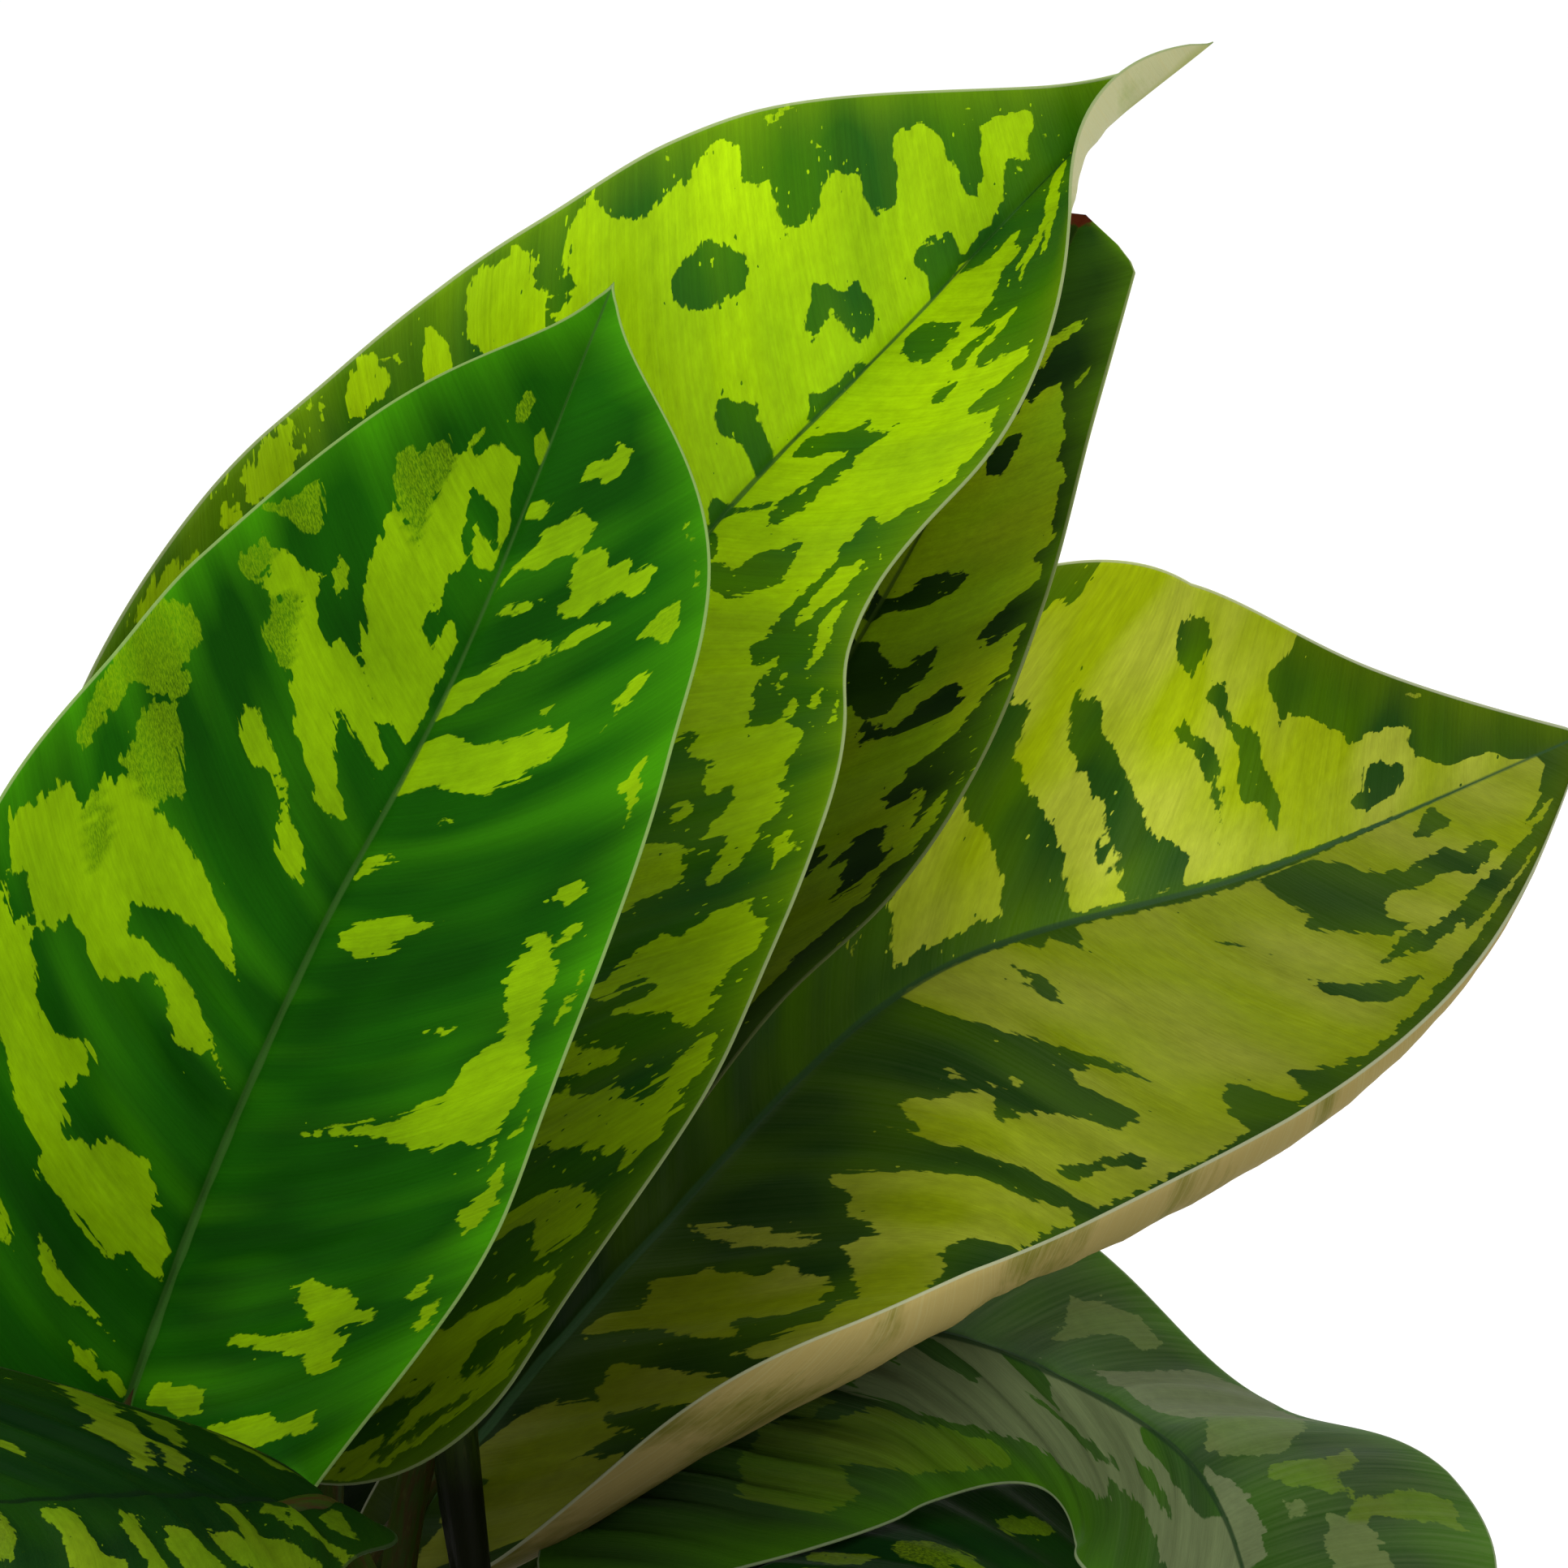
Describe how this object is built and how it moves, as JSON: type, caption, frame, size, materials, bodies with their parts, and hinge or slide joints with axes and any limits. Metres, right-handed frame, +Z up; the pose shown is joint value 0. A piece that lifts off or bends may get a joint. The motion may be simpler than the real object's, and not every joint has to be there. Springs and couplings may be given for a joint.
{
  "type": "potted homalomena",
  "caption": "Variegated homalomena house plant: broad pointed leaves on short stalks from a crown in a plain tapered pot of soil.",
  "frame": {"origin": "centre of the pot's flat underside, on the pot's axis", "axes": "+Z up along the pot's axis, -Y towards the viewer's side of the plant, +X to the viewer's right"},
  "size_m": [0.2941, 0.3148, 0.3889],
  "materials": {
    "leaf_blade": "soft semi-gloss variegated leaf, dark green splashed with lime and yellow-green",
    "leaf_stalk": "smooth satin, olive with brown streaks",
    "new_leaf": "satin, pale green rolled leaf",
    "crown": "matt, fibrous brown-green stem base",
    "soil": "matt, crumbly dark potting mix",
    "pot": "matt moulded, warm grey"
  },
  "bodies": {
    "root": {"pot": "pot", "soil": "soil", "crown": "crown", "new_leaf_roll": "new_leaf", "blade_front": "leaf_blade", "blade_tall": "leaf_blade", "blade_shaded": "leaf_blade", "blade_right": "leaf_blade", "blade_low_right": "leaf_blade", "blade_low_left": "leaf_blade", "blade_low_front": "leaf_blade", "blade_left": "leaf_blade", "blade_back_left": "leaf_blade", "blade_back": "leaf_blade", "blade_back_right": "leaf_blade", "blade_low_back_left": "leaf_blade", "blade_low_back": "leaf_blade", "blade_low_back_right": "leaf_blade", "blade_down_left": "leaf_blade", "blade_down_front_left": "leaf_blade", "blade_down_front": "leaf_blade", "blade_down_right": "leaf_blade", "stalk_front": "leaf_stalk", "stalk_tall": "leaf_stalk", "stalk_shaded": "leaf_stalk", "stalk_right": "leaf_stalk", "stalk_low_right": "leaf_stalk", "stalk_low_left": "leaf_stalk", "stalk_low_front": "leaf_stalk", "stalk_left": "leaf_stalk", "stalk_back_left": "leaf_stalk", "stalk_back": "leaf_stalk", "stalk_back_right": "leaf_stalk", "stalk_low_back_left": "leaf_stalk", "stalk_low_back": "leaf_stalk", "stalk_low_back_right": "leaf_stalk", "stalk_down_left": "leaf_stalk", "stalk_down_front_left": "leaf_stalk", "stalk_down_front": "leaf_stalk", "stalk_down_right": "leaf_stalk"}
  },
  "joints": []
}
